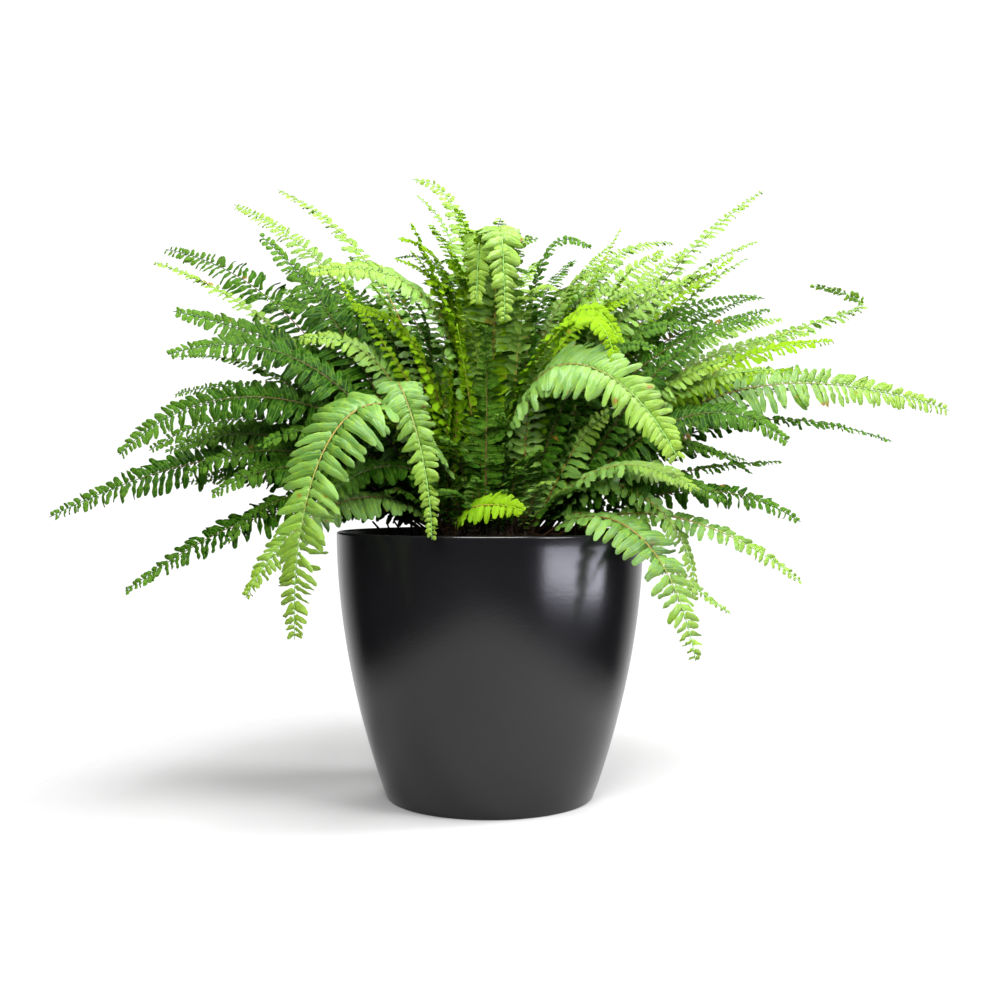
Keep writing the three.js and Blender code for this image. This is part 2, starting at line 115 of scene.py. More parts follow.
# Fronds: the finer form
NARROWING = 0.83  # how much of its width it loses by the tip, a little less than in the model
RIB_RADIUS = (0.0015, 0.0004)  # at the soil and at the tip
RIB_THINNING = 0.45  # how soon it thins
RIB_STEP = 0.009
RIB_SIDES = 5
LEAST_RINGS = 8
FINEST_PITCH = 0.0044  # between leaflets of a frond of no width
PITCH_PER_WIDTH = 0.125  # and how much it grows with the frond's half width
TIP_PITCH = 0.46  # how close they come at the tip, as a share
PITCH_VARIES = (0.9, 1.1)
LAST_LEAFLET = 0.995
SLIMNESS = (0.94, 1.08)  # of one frond's leaflets beside another's
UPRIGHT_PAINTED_LIGHT = 0.5  # painted light: how much lighter the green of upright fronds is painted, for their shaded faces
UPRIGHT_FROM = 66  # degrees of rise from which this painted light starts,
UPRIGHT_RANGE = 18  # over so many more
HANGING = -40  # a mature frond that ends less steeply
TAIL_SHORTER = 0.3  # has leaflets up to so much shorter at its end,
TAIL_START = 0.74  # from this share of its length,
TAIL_RANGE = 0.12  # over this share of it

# Leaflets
LEAFLET_WIDTH = 0.48  # half width, as a share of the pitch
BROADEST = 0.55  # and at most, as a share of the length
LEAF_THICKNESS = 0.0003
LEAFLET_ASIDE = 0.0004  # where it starts beside the middle of the rib
LEAFLET_ABOVE = 0.0003
# Stations along a leaflet, for leaflets of at least so many metres: the short ones have fewer.
LEAFLET_STATIONS = {
    0.017: (0.0, 0.06, 0.17, 0.32, 0.47, 0.62, 0.77, 0.9, 0.97),
    0.0085: (0.0, 0.1, 0.32, 0.6, 0.85, 0.96),
    0.0: (0.0, 0.35, 0.75, 0.95),
}
LEAFLET_TAPER = 0.1
TIP_BLUNTNESS = 6.5
BASE_WIDTH = 0.5  # as a share of the half width
BASE_OPENING = 11  # how fast it widens from there
TEETH = 0.06  # how deep the edge is cut, as a share of the half width
TEETH_START = 0.05
EAR = 0.38  # how far the ear at the base stands out, towards the frond's tip
EAR_LENGTH = 0.07
TILT = 25  # degrees by which leaflets lie like tiles
TWIST = 20  # and by which their ends turn further
CUP = 0.5  # how far the edges hang, as a share of the half width
RUFFLE = 0.36
RUFFLE_SOON = 4  # how fast it starts from the base
RIPPLES = (1.2, 2.4)  # along a leaflet
RIPPLE_SHIFT = 2.1  # between its two edges
HOOK = 0.06  # how far the end bends towards the frond's tip, as a share of the length
TIP_HOOK = 0.06  # and how much of that its point bends further
LIFT = 0.26
LEAFLET_DROOP = 0.14  # how far the end droops, a little more than in the model
HANG = 0.09  # how far it sinks under its own weight
# How much these differ from leaflet to leaflet, as shares of themselves
LENGTH_VARIES = 0.12
WIDTH_VARIES = 0.1
SWEEP_VARIES = 0.25
TILT_VARIES = 0.6
HOOK_VARIES = 0.7
LIFT_VARIES = 0.5
# and how far these stray, in degrees and in shares of the length
SWEEP_STRAYS = 6
TILT_STRAYS = 9
DROOP_STRAYS = 0.1
PLANTER_CLEARANCE = 0.0015

# Fronds between those of the model, which follow a rule
INNER_FRONDS = 40
GOLDEN_ANGLE = 137.5
INNER_REACH = (50, 240)
FRONT_NEARER = 0.65  # how much less far those in front reach
INNER_HEIGHTS = (365, 555)
FAR_LOWER = 0.3  # how much lower they are for each millimetre of reach
FAR_FLATTER = 0.13  # and by how many degrees they rise less
HIGH_ONES = 0.6  # below 1 more of them are high
INNER_DROP = 0.4
PER_PIECE = 14

# Each frond: its name, the bearing and reach of its tip, the tip's height, the slopes at which it leaves the
# soil and ends, the half width and how far it turns its face to the front. Then, where they aren't the usual
# ones, its age, how stiffly it springs up and ends, and how far its root is turned from its bearing and moved
# outwards. Angles are in degrees and lengths in millimetres. +X is bearing 0, and the front is 270.
# A name that ends in _twin grows from the root of the frond before it and belongs to the same node.
USUAL = ("mature", 0.42, 0.42, 0, 0)
FRONDS = [
    ("left_low_1", 190, 415, 275, 45, -27, 30, 58),
    ("left_low_2", 196, 345, 208, 36, -36, 28, 35, "mature", 0.4, 0.4),
    ("left_low_2_twin", 200, 258, 250, 42, -55, 22, 30),
    ("left_low_3", 214, 256, 206, 45, -62, 27, 30, "grown", 0.45, 0.45),
    ("left_mid_1", 203, 352, 331, 62, -48, 28, 60),
    ("left_mid_2", 184, 330, 338, 48, -35, 30, 58),
    ("left_mid_3", 168, 335, 399, 48, -15, 24, 48, "mature", 0.4, 0.4),
    ("left_mid_4", 175, 314, 434, 45, -5, 22, 18, "mature", 0.38, 0.38),
    ("left_mid_4_twin", 172, 318, 308, 32, -5, 22, 18, "mature", 0.38, 0.38),
    ("left_mid_5", 206, 313, 419, 56, -20, 30, 55, "mature", 0.44),
    ("left_mid_5_twin", 201, 304, 461, 60, 8, 34, 60, "mature", 0.48, 0.42, -18),
    ("left_high_1", 186, 322, 518, 52, 18, 24, 22, "grown", 0.38, 0.38, 6),
    ("left_high_2", 163, 362, 556, 52, 12, 36, 62, "mature", 0.4, 0.36),
    ("left_high_3", 196, 224, 539, 60, 38, 38, 66, "mature", 0.38, 0.3, -6),
    ("left_high_4", 160, 289, 602, 66, 24, 24, 42, "grown", 0.4, 0.38),
    ("left_high_5", 168, 222, 606, 74, 26, 22, 22, "grown", 0.4, 0.38),
    ("left_high_6", 222, 212, 491, 88, -14, 26, 62, "grown", 0.66, 0.48),
    ("left_high_7", 196, 150, 502, 78, 55, 15, 40, "young", 0.38, 0.38),
    ("left_high_7_twin", 214, 132, 492, 80, 48, 22, 40, "young", 0.38, 0.38, 6),
    ("front_left_1", 226, 238, 173, 66, -92, 40, 30, "grown", 0.95, 0.95, 4),
    ("front_left_2", 217, 186, 288, 66, -48, 30, 30, "mature", 0.5, 0.45),
    ("front_left_2_twin", 205, 62, 345, 78, 10, 24, 60, "mature", 0.42, 0.42, -24),
    ("front_left_3", 254, 175, 258, 62, -82, 22, 10, "grown", 1.6, 0.85, -52, -7),
    ("front_mid_1", 283, 134, 282, 45, -12, 20, 230, "young", 0.42, 0.42, -40),
    ("front_mid_2", 336, 122, 374, 56, 36, 28, 70, "grown", 0.38, 0.38),
    ("front_mid_2_twin", 345, 92, 402, 84, 5, 30, 80, "mature", 0.45, 0.45),
    ("front_mid_3", 262, 60, 455, 86, 0, 30, 0, "mature", 0.45, 0.45),
    ("front_mid_3_twin", 278, 72, 372, 76, 30, 26, 0),
    ("front_mid_4", 300, 92, 338, 66, 25, 26, 30),
    ("front_mid_5", 240, 86, 350, 68, 20, 26, 20),
    ("top_1", 226, 104, 548, 86, 58, 26, 40, "young", 0.38, 0.38, 12),
    ("top_1_twin", 252, 96, 452, 84, 60, 10, 30, "young", 0.38, 0.38),
    ("top_2", 180, 76, 605, 88, 2, 20, 60, "grown", 0.55, 0.22),
    ("top_2_twin", 165, 76, 594, 84, 34, 14, 20, "grown", 0.42, 0.25, -42),
    ("top_3", 160, 102, 534, 80, -10, 15, 20, "mature", 0.38, 0.38),
    ("top_4", 276, 105, 515, 94, -50, 32, 0, "grown", 0.58, 0.55, 6),
    ("top_5", 345, 101, 532, 80, -38, 20, 40, "mature", 0.42, 0.36),
    ("top_6", 10, 133, 562, 72, 60, 11, 20, "young", 0.38, 0.38),
    ("top_6_twin", 5, 105, 525, 78, 50, 13, 30, "young", 0.38, 0.38),
    ("right_high_1", 20, 199, 556, 72, 2, 24, 30, "grown", 0.42, 0.4),
    ("right_high_2", 10, 283, 606, 62, 34, 20, 30, "grown", 0.4, 0.38),
    ("right_high_3", 350, 258, 536, 62, 18, 16, 25, "grown", 0.38, 0.38),
    ("right_high_3_twin", 0, 253, 528, 58, 30, 16, 22, "grown", 0.38, 0.38),
    ("right_high_4", 354, 266, 484, 60, -8, 20, 42, "mature", 0.4, 0.4, 0, -7),
    ("right_high_5", 350, 150, 500, 70, 30, 18, 30, "young", 0.38, 0.38, 12, -7),
    ("right_high_6", 318, 160, 432, 82, -62, 20, 62, "young", 0.55, 0.55),
    ("right_mid_1", 4, 322, 505, 62, 168, 22, 20, "grown", 0.7, 0.5, -6),
    ("right_mid_2", 350, 328, 440, 48, 0, 24, 40, "young", 0.38, 0.38, 6),
    ("right_mid_3", 348, 430, 373, 52, -20, 30, 60, "grown", 0.46, 0.42, 0, 7),
    ("right_mid_3_twin", 338, 235, 420, 56, 15, 26, 50, "grown"),
    ("right_mid_4", 356, 388, 347, 48, -20, 20, 22, "mature", 0.42, 0.4, 0, 7),
    ("right_mid_4_twin", 350, 280, 327, 36, 2, 18, 20, "mature", 0.38, 0.38, -6),
    ("right_mid_5", 336, 292, 343, 50, -42, 27, 50, "mature", 0.42, 0.42, 0, 7),
    ("right_mid_5_twin", 340, 265, 458, 52, 8, 26, 45, "mature", 0.38, 0.38, -6),
    ("front_right_1", 308, 256, 325, 88, -58, 38, 75, "grown", 0.84, 0.52, -6),
    ("front_right_2", 318, 240, 153, 32, -78, 30, 20, "grown", 0.5, 0.5),
    ("front_right_3", 332, 212, 200, 56, -92, 18, 20, "grown", 0.62, 0.5, -6),
    ("front_right_3_twin", 326, 255, 192, 30, -30, 13, 20, "grown"),
    ("right_low_1", 344, 298, 271, 30, -34, 24, 38, "mature", 0.4, 0.38),
    ("right_low_2", 335, 305, 219, 30, -38, 18, 30, "grown", 0.38, 0.38),
    ("back_1", 140, 305, 262, 44, -45, 27, 20),
    ("back_2", 118, 330, 310, 52, -40, 28, 10),
    ("back_3", 96, 290, 238, 46, -60, 27, 0, "grown", 0.45, 0.45),
    ("back_4", 74, 340, 330, 56, -36, 28, 0),
    ("back_5", 52, 300, 250, 45, -50, 26, 10, "grown"),
    ("back_6", 150, 285, 402, 58, -20, 28, 30),
    ("back_7", 128, 262, 448, 64, -15, 27, 20, "grown"),
    ("back_8", 104, 280, 392, 62, -35, 28, 10, "mature", 0.45, 0.45),
    ("back_8_twin", 112, 200, 330, 74, -72, 26, 0, "mature", 0.6, 0.55),
    ("back_9", 82, 240, 462, 68, -20, 28, 0, "mature", 0.45, 0.45),
    ("back_10", 60, 275, 420, 62, -28, 28, 10, "grown"),
    ("back_11", 40, 250, 470, 62, -10, 26, 20),
    ("back_11_twin", 30, 335, 318, 48, -32, 28, 20),
    ("back_12", 138, 160, 520, 78, 0, 24, 20, "grown"),
    ("back_12_twin", 92, 130, 530, 80, -10, 24, 0, "grown"),
    ("back_13", 50, 165, 515, 76, -5, 24, 10, "grown"),
]

# Fronds of the crown's thicket, which stand between those above, in the same order of values without a name.
# The usual stiffness of their ends is INNER_DROP.
CROWN = [
    (20, 190, 520, 74, 20, 29, 40), (350, 215, 505, 70, 10, 27, 50, "grown"),
    (35, 170, 540, 76, 25, 22, 10), (5, 235, 480, 66, 5, 25, 40),
    (345, 200, 455, 66, -10, 25, 50), (330, 175, 430, 68, -20, 23, 60),
    (15, 150, 500, 80, -10, 26, 30), (355, 120, 540, 82, 40, 16, 40, "grown"),
    (340, 140, 480, 76, 10, 20, 50, "young"), (50, 140, 545, 80, 30, 24, 10),
    (28, 215, 455, 68, 0, 26, 25), (352, 250, 380, 50, -15, 26, 35),
    (342, 230, 330, 46, -30, 26, 40), (330, 215, 300, 46, -40, 24, 40, "grown"),
    (10, 265, 330, 44, -20, 26, 20), (165, 190, 520, 74, 15, 26, 30),
    (185, 215, 480, 68, 0, 27, 45), (150, 170, 545, 78, 30, 24, 20),
    (200, 190, 440, 66, -15, 25, 55, "grown"), (175, 240, 440, 60, -10, 27, 35),
    (140, 190, 480, 72, 0, 26, 10), (210, 150, 470, 74, 0, 22, 50, "young"),
    (192, 260, 380, 52, -25, 28, 40), (178, 270, 350, 46, -20, 26, 30),
    (205, 230, 340, 50, -35, 28, 40), (100, 60, 560, 86, 40, 25, 10, "grown"),
    (80, 90, 545, 84, 20, 27, 0, "grown"), (120, 110, 530, 82, 10, 25, 0),
    (60, 100, 540, 82, 30, 22, 0, "grown"), (250, 60, 520, 88, 0, 24, 20, "grown"),
    (188, 300, 345, 46, -22, 28, 40), (196, 290, 315, 44, -30, 26, 45),
    (184, 280, 310, 40, -25, 26, 40), (201, 270, 296, 42, -35, 26, 45),
    (8, 200, 540, 74, 30, 25, 45, "grown"), (352, 170, 530, 76, 25, 25, 60, "grown"),
    (22, 230, 522, 68, 25, 24, 40), (0, 240, 530, 66, 35, 17, 30, "young"),
    (30, 240, 490, 66, 10, 22, 20), (12, 175, 468, 76, 0, 23, 30),
    (345, 170, 495, 76, 5, 20, 50, "grown"), (262, 45, 545, 88, 20, 18, 10, "grown"),
    (292, 52, 515, 88, 0, 20, 0, "grown"), (240, 70, 500, 84, -15, 24, 20, "grown"),
    (300, 80, 478, 84, -20, 24, 20, "grown"), (205, 100, 520, 84, 10, 20, 30, "young"),
    (2, 290, 470, 60, 10, 19, 40, "grown"), (12, 280, 500, 62, 20, 19, 30),
    (350, 300, 412, 54, 0, 20, 50, "young"), (356, 310, 452, 56, 5, 19, 40, "grown"),
    (345, 270, 468, 62, 10, 19, 50), (250, 85, 560, 86, 35, 22, 20, "young"),
    (235, 95, 545, 84, 30, 20, 30, "young"), (280, 60, 555, 86, 20, 26, 0, "grown"),
    (300, 75, 538, 84, 15, 24, 10, "grown"), (268, 40, 530, 88, 20, 28, 0, "grown"),
    (168, 245, 500, 64, 10, 26, 40), (160, 230, 530, 68, 20, 26, 40),
    (172, 210, 500, 70, 0, 27, 45), (192, 310, 335, 44, -25, 27, 45),
    (182, 300, 342, 44, -20, 25, 40), (352, 290, 395, 50, -5, 24, 45),
    (340, 275, 410, 54, 0, 22, 45, "grown"), (335, 235, 290, 44, -35, 24, 40),
    (322, 215, 305, 50, -35, 22, 30, "grown"), (312, 168, 408, 88, -82, 22, 25, "young", 0.9, 0.5),
    (277, 114, 452, 90, -86, 31, 0, "grown", 1.35, 0.8), (262, 86, 470, 92, -80, 28, 0, "grown", 1.3, 0.7),
    (262, 96, 312, 50, 10, 15, 0), (278, 104, 300, 42, -5, 14, 0),
    (290, 88, 322, 56, 15, 15, 0), (248, 112, 300, 44, -10, 16, 10),
    (302, 110, 308, 46, -5, 15, 0, "grown"), (232, 118, 312, 48, -8, 17, 20),
    (316, 118, 300, 44, -15, 16, 20), (270, 70, 330, 66, 20, 14, 0),
    (222, 128, 298, 40, -20, 17, 30), (330, 130, 305, 46, -15, 17, 30),
    (284, 62, 344, 70, 25, 15, 0), (254, 64, 350, 72, 25, 15, 0),
    (84, 120, 306, 50, -15, 17, 0), (104, 128, 300, 46, -20, 18, 0, "grown"),
    (122, 118, 312, 52, -10, 17, 10), (66, 124, 304, 48, -15, 17, 0),
    (96, 190, 266, 52, -50, 22, 0), (134, 185, 272, 50, -45, 22, 10),
]

# How much wider the leaflets of some fronds are spaced.
LOOSE = {
    "left_mid_4_twin": 1.3, "left_high_1": 1.2, "left_high_4": 1.15, "left_high_5": 1.3,
    "left_high_7": 1.3, "left_high_7_twin": 1.3, "top_1": 1.35, "top_1_twin": 1.3,
    "top_2": 1.25, "top_2_twin": 1.3, "top_6": 1.3, "top_6_twin": 1.3,
    "right_high_2": 1.3, "right_high_3": 1.3, "right_high_3_twin": 1.3, "right_high_4": 1.15,
    "right_mid_1": 1.25, "right_mid_4": 1.25, "right_low_1": 1.2, "right_low_2": 1.3,
    "front_right_2": 1.35, "front_right_3": 1.3, "front_right_3_twin": 1.4,
}

Row = namedtuple(
    "Row",
    "name bearing reach tip_height rise fall half_width face age spring drop turn out",
    defaults=USUAL,
)
random = np.random.default_rng(SEED)


# Vectors

def unit(vectors):
    return vectors / np.linalg.norm(vectors, axis=-1, keepdims=True)


def heading(bearing):
    angle = math.radians(bearing)
    return np.array([math.cos(angle), math.sin(angle), 0.0])


def direction(bearing, rise):
    """A unit vector at a bearing, which rises by an angle."""
    angle = math.radians(rise)
    return heading(bearing) * math.cos(angle) + (0, 0, math.sin(angle))


def mix(a, b, share):
    return a + (b - a) * share


def vary(count, amount):
    return 1 + amount * random.uniform(-1, 1, count)


# Meshes

class Bundle:
    """Points and faces that are gathered for one piece."""

    def __init__(self):
        self.parts = []
        self.faces = []
        self.count = 0

    def add(self, points, faces):
        self.parts.append(points)
        self.faces += [tuple(corner + self.count for corner in face) for face in faces]
        self.count += len(points)

    def mesh(self):
        return np.concatenate(self.parts), self.faces


def make_piece(name, points, faces, materials, face_materials=None, smooth=True):
    """An object from points and faces, with its materials."""
    mesh = bpy.data.meshes.new(name)
    mesh.from_pydata(points.tolist(), [], faces)
    for material in materials:
        mesh.materials.append(material)
    if face_materials is not None:
        mesh.polygons.foreach_set("material_index", np.asarray(face_materials, np.int32))
    mesh.polygons.foreach_set("use_smooth", np.full(len(mesh.polygons), smooth))
    mesh.update()
    piece = bpy.data.objects.new(name, mesh)
    bpy.context.scene.collection.objects.link(piece)
    return piece


def set_uv(mesh, name, values):
    """A UV map from one pair of numbers for each vertex."""
    layer = mesh.uv_layers.new(name=name)
    corners = np.zeros(len(mesh.loops), np.int32)
    mesh.loops.foreach_get("vertex_index", corners)
    layer.uv.foreach_set("vector", values[corners].astype(np.float32).ravel())


def sharpen_rims(mesh, on_rim):
    """Keeps the edge between the two skins of each leaflet sharp."""
    ends = np.zeros(len(mesh.edges) * 2, np.int32)
    mesh.edges.foreach_get("vertices", ends)
    sharp = on_rim[ends].reshape(-1, 2).all(axis=1)
    attribute = mesh.attributes.new("sharp_edge", "BOOLEAN", "EDGE")
    attribute.data.foreach_set("value", sharp)


def ring_faces(count, sides):
    """Faces that join rings of points to a closed body."""
    faces = []
    for first in range(0, (count - 1) * sides, sides):
        for k in range(sides):
            a = first + k
            b = first + (k + 1) % sides
            faces.append((a, b, b + sides, a + sides))
    start = tuple(range(sides))[::-1]
    end = tuple(range((count - 1) * sides, count * sides))
    return [*faces, start, end]


def turned(profile, sides):
    """Points and faces of a closed profile of (radius, height) turned round Z."""
    angles = np.linspace(0, 2 * np.pi, sides, endpoint=False)
    rings = [
        np.column_stack([r * np.cos(angles), r * np.sin(angles), np.full(sides, z)])
        for r, z in profile
    ]
    return np.concatenate(rings), ring_faces(len(profile), sides)


def round_rings(path, across, above, radii, sides):
    """Points in rings round a path, given two directions across it at each ring."""
    angles = np.linspace(0, 2 * np.pi, sides, endpoint=False)
    ring = np.cos(angles)[None, :, None] * across[:, None] + np.sin(angles)[None, :, None] * above[:, None]
    return (path[:, None] + ring * radii[:, None, None]).reshape(-1, 3)


def tube(path, radii, sides):
    """Points and faces of a closed tube along a path."""
    along = unit(np.gradient(path, axis=0))
    steep = abs(along[0][2]) >= 0.8
    guide = np.array([1.0, 0.0, 0.0] if steep else [0.0, 0.0, 1.0])
    across = unit(np.cross(along, guide))
    points = round_rings(path, across, np.cross(along, across), radii, sides)
    return points, ring_faces(len(path), sides)


# Materials

class ShaderNet:
    """The nodes of a material or the world, and short ways to add to them."""

    def __init__(self, owner):
        owner.use_nodes = True
        self.nodes = owner.node_tree.nodes
        self.links = owner.node_tree.links

    def set(self, node, inputs):
        """Gives inputs of a node numbers, colours or links from other nodes."""
        for key, value in inputs.items():
            socket = node.inputs[key]
            if isinstance(value, bpy.types.NodeSocket):
                self.links.new(value, socket)
            elif socket.type == "RGBA":
                socket.default_value = (*value, 1.0)
            else:
                socket.default_value = value
        return node

    def add(self, kind, *first, **named):
        """A new node whose first inputs are given in order, and others by name."""
        node = self.nodes.new("ShaderNode" + kind)
        return self.set(node, dict(enumerate(first)) | named)

    def places(self, kind="Object"):
        return self.add("TexCoord").outputs[kind]

    def parts(self, vector):
        return self.add("SeparateXYZ", vector).outputs

    def uv(self, name):
        """The two numbers of a UV map."""
        node = self.add("UVMap")
        node.uv_map = name
        return self.parts(node.outputs["UV"])[:2]

    def noise(self, places, scale, detail=3.0):
        return self.add("TexNoise", places, Scale=scale, Detail=detail).outputs["Fac"]

    def ramp(self, value, stops):
        node = self.add("ValToRGB", value)
        elements = node.color_ramp.elements
        while len(elements) < len(stops):
            elements.new(0.5)
        for element, (place, color) in zip(elements, stops):
            element.position = place
            element.color = (*color, 1.0)
        return node.outputs["Color"]

    def fit(self, value, old, new):
        """Maps a number from one range to another, and no further."""
        return self.add("MapRange", value, *old, *new).outputs["Result"]

    def math(self, operation, *values):
        node = self.add("Math", *values)
        node.operation = operation
        return node.outputs["Value"]

    def mix(self, share, a, b):
        """Mixes two colours."""
        node = self.add("Mix", share)
        node.data_type = "RGBA"
        return self.set(node, {6: a, 7: b}).outputs[2]

    def mix_shaders(self, share, a, b):
        return self.add("MixShader", share, a, b).outputs["Shader"]

    def background(self, color, strength=1.0):
        return self.add("Background", color, strength).outputs["Background"]


class Material(ShaderNet):
    """A new material, its nodes and its main shader."""

    def __init__(self, name):
        self.material = bpy.data.materials.new(name)
        super().__init__(self.material)
        self.shader = self.nodes["Principled BSDF"]

    def look(self, color, roughness, specular=0.5):
        looks = {"Base Color": color, "Roughness": roughness, "Specular IOR Level": specular}
        self.set(self.shader, looks)

    def bump(self, height, distance, strength):
        """Gives the main shader relief and returns its normals."""
        node = self.add("Bump", Height=height, Distance=distance, Strength=strength)
        self.set(self.shader, {"Normal": node.outputs["Normal"]})
        return node.outputs["Normal"]

    def overlay(self, share, shader):
        """Mixes another shader into the main one."""
        mixed = self.mix_shaders(share, self.shader.outputs["BSDF"], shader.outputs["BSDF"])
        self.set(self.nodes["Material Output"], {"Surface": mixed})


LEAF_LOOKS = {
    "mature": {
        "deep": (0.003, 0.024, 0.001), "fresh": (0.021, 0.09, 0.003),
        "tip": (0.15, 0.32, 0.03), "lit": (0.25, 0.6, 0.015),
        "glow": 0.25, "sheen": 0.16, "paling": (0.72, 0.6), "golden_rib": (0, 0.35),
    },
    "grown": {
        "deep": (0.055, 0.165, 0.022), "fresh": (0.185, 0.375, 0.085),
        "tip": (0.31, 0.48, 0.025), "lit": (0.5, 0.8, 0.04),
        "glow": 0.28, "sheen": 0.85, "paling": (0.6, 0.75), "golden_rib": (0.6, 1),
    },
    "young": {
        "deep": (0.14, 0.32, 0.008), "fresh": (0.23, 0.46, 0.008),
        "tip": (0.3, 0.5, 0.012), "lit": (0.52, 0.8, 0.035),
        "glow": 0.42, "sheen": 0.15, "paling": (0.4, 0.85), "golden_rib": (0.6, 1),
    },
}
MOTTLE_SCALE = 26.0
DRAW_SHARE = 0.55  # how far a leaflet's own draw, with the painted light of upright fronds, sets its green, beside the mottle
DRY_SCALE = 47.0
DRY_BROWN = (0.3, 0.12, 0.02)
UNDER_PALE = 0.3  # how far the lower skin is paler
UNDER_SHEEN = 0.6  # and its sheen, as a share of the upper one's
SPORE_DOTS = 9  # in each row along a leaflet
SPORE_ROW = 0.3  # where a row lies beside the midrib, of 0.5 at the edge
SPORE_BROWN = (0.16, 0.08, 0.02)
SIDE_VEINS = 11
VEIN_SLANT = 0.9
VEIN_HEIGHT = 0.22
LEAF_GRAIN = 420.0


def leaf_material(age, under=False):
    """Green that freshens towards the frond's tip and is painted lighter on upright fronds as painted light,
    with a pale midrib, a painted highlight along each leaflet's edges, fine side veins and a waxy sheen.
    """
    looks = LEAF_LOOKS[age]
    net = Material(f"{age}_leaf{'_under' if under else ''}")
    along, across = net.uv("leaflet")
    # The second growth number is each leaflet's random tone plus the painted light of upright fronds.
    share, draw = net.uv("growth")
    places = net.places()

    mottle = net.noise(places, MOTTLE_SCALE, 4.0)
    tone = net.math("ADD", net.math("MULTIPLY", draw, DRAW_SHARE), mottle)
    tone = net.fit(tone, (0.35, 1.15), (0.0, 1.0))
    color = net.ramp(tone, [(0.0, looks["deep"]), (1.0, looks["fresh"])])
    pales_from, pales_to = looks["paling"]
    at_tip = net.fit(share, (pales_from, 1.0), (0.0, pales_to))
    color = net.mix(at_tip, color, looks["tip"])
    off_middle = net.math("ABSOLUTE", net.math("SUBTRACT", across, 0.5))
    # Painted highlight: the edges of each leaflet are painted paler, towards the tip's colour.
    rim = net.fit(off_middle, (0.36, 0.5), (0.0, 0.3))
    color = net.mix(rim, color, looks["tip"])
    midrib = net.fit(off_middle, (0.02, 0.07), (0.55, 0.0))
    color = net.mix(midrib, color, looks["tip"])
    dry = net.fit(net.noise(places, DRY_SCALE, 1.0), (0.735, 0.76), (0.0, 0.8))
    color = net.mix(dry, color, DRY_BROWN)
    if under:
        color = net.mix(UNDER_PALE, color, looks["tip"])
        off_row = net.math("ABSOLUTE", net.math("SUBTRACT", off_middle, SPORE_ROW))
        row = net.fit(off_row, (0.0, 0.06), (1.0, 0.0))
        beat = net.math("SINE", net.math("MULTIPLY", along, 2 * math.pi * SPORE_DOTS))
        dots = net.math("MULTIPLY", row, net.fit(beat, (0.3, 0.6), (0.0, 0.6)))
        color = net.mix(dots, color, SPORE_BROWN)

    # Side veins leave the midrib at a slant.
    phase = net.math("SUBTRACT", along, net.math("MULTIPLY", off_middle, VEIN_SLANT))
    wave = net.math("SINE", net.math("MULTIPLY", phase, 2 * math.pi * SIDE_VEINS))
    groove = net.fit(off_middle, (0.0, 0.09), (-1.0, 0.0))
    relief = net.math("ADD", net.math("MULTIPLY", wave, VEIN_HEIGHT), groove)
    relief = net.math("ADD", relief, net.noise(places, LEAF_GRAIN, 2.0))
    normals = net.bump(relief, 0.0005, 0.7)

    net.look(color, 0.55 if under else 0.38, looks["sheen"] * (UNDER_SHEEN if under else 1))
    glow = net.add("BsdfTranslucent", net.mix(0.5, color, looks["lit"]), Normal=normals)
    net.overlay(looks["glow"], glow)
    return net.material


def rib_material(age):
    """Brown at the soil, then tan and orange, and green near the tip, with fine hairs as relief."""
    tip = LEAF_LOOKS[age]["fresh"]
    net = Material(f"{age}_rib")
    share, draw = net.uv("growth")
    places = net.places()
    along = net.math("ADD", share, net.math("MULTIPLY", net.noise(places, 60.0), 0.16))
    brown = [
        (0.08, (0.014, 0.009, 0.005)), (0.35, (0.035, 0.018, 0.008)),
        (0.7, (0.09, 0.07, 0.02)), (0.95, tip),
    ]
    golden = [
        (0.1, (0.018, 0.011, 0.005)), (0.36, (0.15, 0.08, 0.018)),
        (0.6, (0.34, 0.22, 0.04)), (0.95, tip),
    ]
    net.look(net.mix(draw, net.ramp(along, brown), net.ramp(along, golden)), 0.5)
    net.bump(net.noise(places, 1500.0, 2.0), 0.0003, 0.6)
    return net.material


def pot_material():
    """Black satin plastic with orange peel and faint rings from the mould."""
    net = Material("pot_black")
    places = net.places()
    flattened = net.add("Mapping", places, Scale=(0.02, 0.02, 1)).outputs["Vector"]
    rings = net.math("MULTIPLY", net.noise(flattened, 260.0, 1.0), 0.25)
    net.bump(net.math("ADD", net.noise(places, 300.0, 2.0), rings), 0.0002, 0.25)
    patches = net.noise(places, 9.0)
    color = net.ramp(patches, [(0.3, (0.0035, 0.0034, 0.004)), (0.7, (0.006, 0.0057, 0.0066))])
    net.look(color, net.fit(patches, (0.3, 0.7), (0.19, 0.23)), 0.42)
    return net.material


# Two colours and the scale of the grain
PEAT = ((0.004, 0.0028, 0.002), (0.018, 0.0115, 0.007), 150.0)
BARK = ((0.005, 0.0034, 0.0025), (0.034, 0.021, 0.012), 220.0)
ROOT_FIBRE = ((0.03, 0.014, 0.006), (0.13, 0.065, 0.028), 90.0)
DEAD_STEM = ((0.006, 0.004, 0.003), (0.03, 0.017, 0.008), 120.0)


def soil_material(name, dark, light, scale):
    net = Material(name)
    places = net.places()
    net.look(net.ramp(net.noise(places, scale, 6.0), [(0.35, dark), (0.68, light)]), 0.95, 0.2)
    net.bump(net.noise(places, scale * 4, 5.0), 0.001, 0.8)
    return net.material


# Planter

def pot_radius(z):
    return RIM_RADIUS - (RIM_RADIUS - FOOT_RADIUS) * (1 - z / POT_HEIGHT) ** POT_BELLY


def arc(center, radius, start, end, steps):
    """Points on an arc in the plane of radius and height, from one angle in degrees to another."""
    angles = np.radians(np.linspace(start, end, steps))
    return [(center[0] + radius * math.cos(a), center[1] + radius * math.sin(a)) for a in angles]


